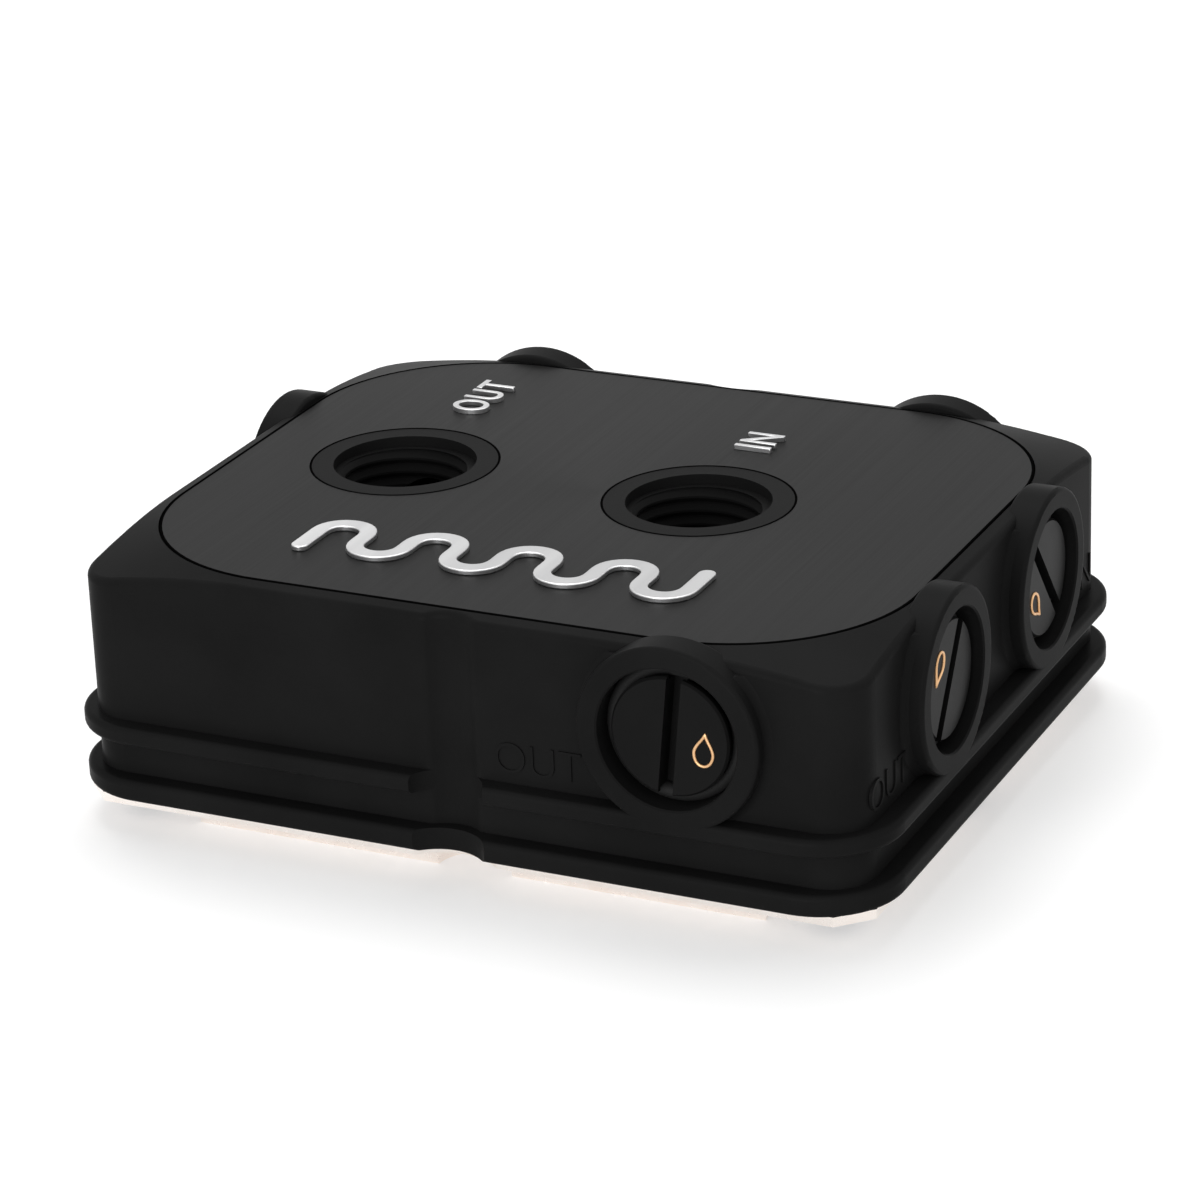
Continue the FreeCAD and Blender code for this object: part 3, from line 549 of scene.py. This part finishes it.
# %% Draw the coil
COIL_LENGTH = 38.4 * MM
COIL_HEIGHT = 7.5 * MM
COIL_X = -0.8 * MM
COIL_Y = -18.8 * MM
BAND_WIDTH = 1.6 * MM
BAND_HEIGHT = 0.5 * MM
BAND_EDGE = 0.1 * MM
COIL_LEGS = 9
COIL_STEPS = 16
HALF_CIRCLE_HANDLE = 4 / 3

clear_selection()
bpy.ops.curve.primitive_bezier_circle_add()
section = bpy.context.object
corners = ((-1, -1), (-1, 1), (1, 1), (1, -1))
for point, (across, up) in zip(section.data.splines[0].bezier_points, corners):
    point.handle_left_type = point.handle_right_type = "VECTOR"
    point.co = (across * BAND_WIDTH / 2, up * BAND_HEIGHT / 2, 0)

clear_selection()
bpy.ops.curve.primitive_bezier_curve_add()
coil = bpy.context.object
bpy.ops.object.mode_set(mode="EDIT")
bpy.ops.curve.select_all(action="SELECT")
bpy.ops.curve.subdivide(number_cuts=2 * COIL_LEGS - 2)
bpy.ops.object.mode_set(mode="OBJECT")
pitch = (COIL_LENGTH - BAND_WIDTH) / (COIL_LEGS - 1)
bend = pitch / 2
half_height = (COIL_HEIGHT - BAND_WIDTH) / 2
half_leg = half_height - bend
points = coil.data.splines[0].bezier_points
for index, point in enumerate(points):
    leg, second = divmod(index, 2)
    rising = 1 if leg % 2 == 0 else -1
    level = rising * half_leg if second else -rising * half_leg
    if index in (0, len(points) - 1):
        level *= half_height / half_leg
    point.handle_left_type = point.handle_right_type = "FREE"
    point.co = ((leg - (COIL_LEGS - 1) / 2) * pitch, level, 0)
    along_leg = Vector((0, rising * half_leg / 2, 0))
    along_bend = Vector((0, rising * HALF_CIRCLE_HANDLE * bend, 0))
    point.handle_left = point.co - (along_leg if second else along_bend)
    point.handle_right = point.co + (along_bend if second else along_leg)
ends = [points[index].co.copy() for index in (0, -1)]
coil.data.dimensions = "2D"
coil.data.resolution_u = COIL_STEPS
coil.data.bevel_mode = "OBJECT"
coil.data.bevel_object = section
coil.data.use_fill_caps = True
pick(coil)
bpy.ops.object.convert(target="MESH")
coil = bpy.context.object
bpy.data.objects.remove(section)
open_whole(coil)
bpy.ops.mesh.remove_doubles(threshold=MERGE_DISTANCE)
bpy.ops.mesh.normals_make_consistent(inside=False)
bpy.ops.object.mode_set(mode="OBJECT")
for end in ends:
    trim(coil, add_rod(BAND_WIDTH / 2, BAND_HEIGHT, end), "UNION")
open_whole(coil)
bpy.ops.mesh.dissolve_limited(angle_limit=SAME_PLANE)
bpy.ops.object.mode_set(mode="OBJECT")
bevel_corners(coil, BAND_EDGE)
coil.location = (COIL_X, COIL_Y, plate_top + BAND_HEIGHT / 2 - SUNK)
finish_piece(coil, "flow_coil", silver, smooth=SMOOTH_RAISED)
print("coil", [round(v / MM, 1) for v in coil.dimensions], "mm")

# %% [markdown]
# ## Drop marks on the plugs
# Each plug's face carries a small copper-coloured mark beside its slot. A water drop is drawn as a Bezier
# circle whose top point is pulled to a tip, with a thin round bevel, and copied to each of the six plugs.

# %% Draw one drop
DROP_WIDTH = 1.7 * MM
DROP_HEIGHT = 3.0 * MM
DROP_LINE = 0.16 * MM
DROP_STEPS = 12
TIP_SPREAD = 0.1 * DROP_WIDTH
TIP_REACH = 0.25 * DROP_HEIGHT
clear_selection()
bpy.ops.curve.primitive_bezier_circle_add(radius=DROP_WIDTH / 2)
drop = bpy.context.object
points = drop.data.splines[0].bezier_points
tip = max(points, key=lambda point: point.co.y)
tip.handle_left_type = tip.handle_right_type = "FREE"
tip.co.y = DROP_HEIGHT - DROP_WIDTH / 2
tip.handle_left = tip.co + Vector((-TIP_SPREAD, -TIP_REACH, 0))
tip.handle_right = tip.co + Vector((TIP_SPREAD, -TIP_REACH, 0))
drop.data.dimensions = "3D"
drop.data.resolution_u = DROP_STEPS
drop.data.bevel_depth = DROP_LINE
drop.data.bevel_resolution = BEVEL_STEPS
pick(drop)
bpy.ops.object.convert(target="MESH")
drop = bpy.context.object
print("drop", [round(v / MM, 2) for v in drop.dimensions], "mm")

# %% Copy it to the plugs
PLUG_FACE_DEPTH = 0.8 * MM
MARK_OFFSET = 3.2 * MM
MARK_DROP = -1.0 * MM
# Each side port's x and y in mm, the way it faces, and the turn of its plug's slot in degrees.
PLUG_PLACES = {
    "front": (21.1, -33.0, (0, -1, 0), -6),
    "right_front": (39.5, -12.6, (1, 0, 0), 239),
    "right_rear": (39.5, 11.9, (1, 0, 0), 308),
    "back_right": (21.1, 33.0, (0, 1, 0), 20),
    "back_left": (-21.1, 33.0, (0, 1, 0), -35),
    "left": (-39.5, 11.9, (-1, 0, 0), 60),
}
for side, (x, y, outward, slot_turn) in PLUG_PLACES.items():
    clear_selection()
    outward = Vector(outward)
    mark = drop.copy()
    mark.data = drop.data.copy()
    bpy.context.scene.collection.objects.link(mark)
    across = Vector((0, 0, 1)).cross(outward) if abs(outward.y) else Vector((0, 0, -1)) * outward.x
    along = outward.cross(across)
    face = Matrix((across, along, outward)).transposed().to_4x4()
    centre = Vector((x * MM, y * MM, PORT_AXIS)) - PLUG_FACE_DEPTH * outward
    mark.data.transform(Matrix.Translation(centre) @ face @ Matrix.Rotation(math.radians(slot_turn), 4, "Z")
                        @ Matrix.Translation((MARK_OFFSET, MARK_DROP, 0)))
    finish_piece(mark, f"plug_mark_{side}", inlay, smooth=SMOOTH_ROUND)
bpy.data.objects.remove(drop)
print("marks", len(PLUG_PLACES))

# %% [markdown]
# ## Studio
# The part lies on a pale floor that melts into a white background. Light Path tells the camera's rays and the
# reflections from the light that falls on the part, so the background can be white while the lamps stay low.
# The floor is only part light and part glow, and so keeps the soft shadow.

# %% Floor and background
FLOOR_SIZE = 6
FLOOR_GREY = 0.75
FLOOR_GLOW = 0.36
AMBIENT = 0.55
clear_selection()
bpy.ops.mesh.primitive_plane_add(size=FLOOR_SIZE, location=(0, 0, 0))
floor = bpy.context.object
floor.name = "studio_floor"
floor_paper, tree, shader = start_material("Studio paper", Roughness=0.95, Specular_IOR_Level=0.0)
shader.inputs["Base Color"].default_value = (FLOOR_GREY, FLOOR_GREY, FLOOR_GREY, 1)
shader.inputs["Emission Color"].default_value = (1, 1, 1, 1)
light_path = add_node(tree, "ShaderNodeLightPath", (-700, -300))
seen = math_node(tree, "MAXIMUM", (-450, -300), light_path.outputs["Is Camera Ray"],
                 light_path.outputs["Is Glossy Ray"])
glow = math_node(tree, "MULTIPLY", (-250, -450), seen, FLOOR_GLOW)
tree.links.new(glow, shader.inputs["Emission Strength"])
floor.data.materials.append(floor_paper)

world = bpy.data.worlds.new("Studio")
bpy.context.scene.world = world
world.use_nodes = True
tree = world.node_tree
sky = tree.nodes["Background"]
sky.inputs["Color"].default_value = (1, 1, 1, 1)
light_path = add_node(tree, "ShaderNodeLightPath", (-900, 0))
seen = math_node(tree, "MAXIMUM", (-650, 0), light_path.outputs["Is Camera Ray"],
                 light_path.outputs["Is Glossy Ray"])
seen = math_node(tree, "MAXIMUM", (-450, 0), seen, light_path.outputs["Is Transmission Ray"])
unseen = math_node(tree, "SUBTRACT", (-650, -200), 1.0, seen)
level = math_node(tree, "MULTIPLY", (-450, -200), unseen, AMBIENT)
tree.links.new(math_node(tree, "ADD", (-250, 0), seen, level), sky.inputs["Strength"])


# %% Lamps
LAMP_AIM = (0, 0, 0.01)


def add_lamp(name, place, size, power):
    """A square soft lamp that looks at the part."""
    clear_selection()
    bpy.ops.object.light_add(type="AREA", location=place)
    lamp = bpy.context.object
    lamp.name = name
    lamp.data.shape = "SQUARE"
    lamp.data.size = size
    lamp.data.energy = power
    lamp.rotation_euler = (Vector(LAMP_AIM) - Vector(place)).to_track_quat("-Z", "Y").to_euler()
    return lamp


add_lamp("key_lamp", (-0.12, 0.2, 0.62), 0.45, 2.4)
add_lamp("right_lamp", (0.65, 0.25, 0.35), 0.35, 0.3)
add_lamp("front_lamp", (0.0, -0.7, 0.12), 0.4, 2.8)

# %% [markdown]
# ## Camera
# The camera stands where the photographer's did: 26 degrees to the right of the front and 22 degrees up, with
# a long lens. Its turn is written as the three directions of its axes, which avoids any doubt about angles.

# %% Place the camera
CAMERA_PLACE = Vector((162.08, -336.29, 168.51)) * MM
TO_RIGHT = Vector((0.9060, 0.4218, -0.0350)).normalized()
VIEW = Vector((-0.4023, 0.8326, -0.3807)).normalized()
LENS = 131.6
FILM_WIDTH = 36.0
NEAREST = 10 * MM
clear_selection()
bpy.ops.object.camera_add(location=CAMERA_PLACE)
camera = bpy.context.object
upward = TO_RIGHT.cross(VIEW).normalized()
to_right = VIEW.cross(upward)
camera.rotation_euler = Matrix((to_right, upward, -VIEW)).transposed().to_euler()
camera.data.lens = LENS
camera.data.sensor_width = FILM_WIDTH
camera.data.clip_start = NEAREST
bpy.context.scene.camera = camera
bpy.context.scene.view_settings.view_transform = "Standard"
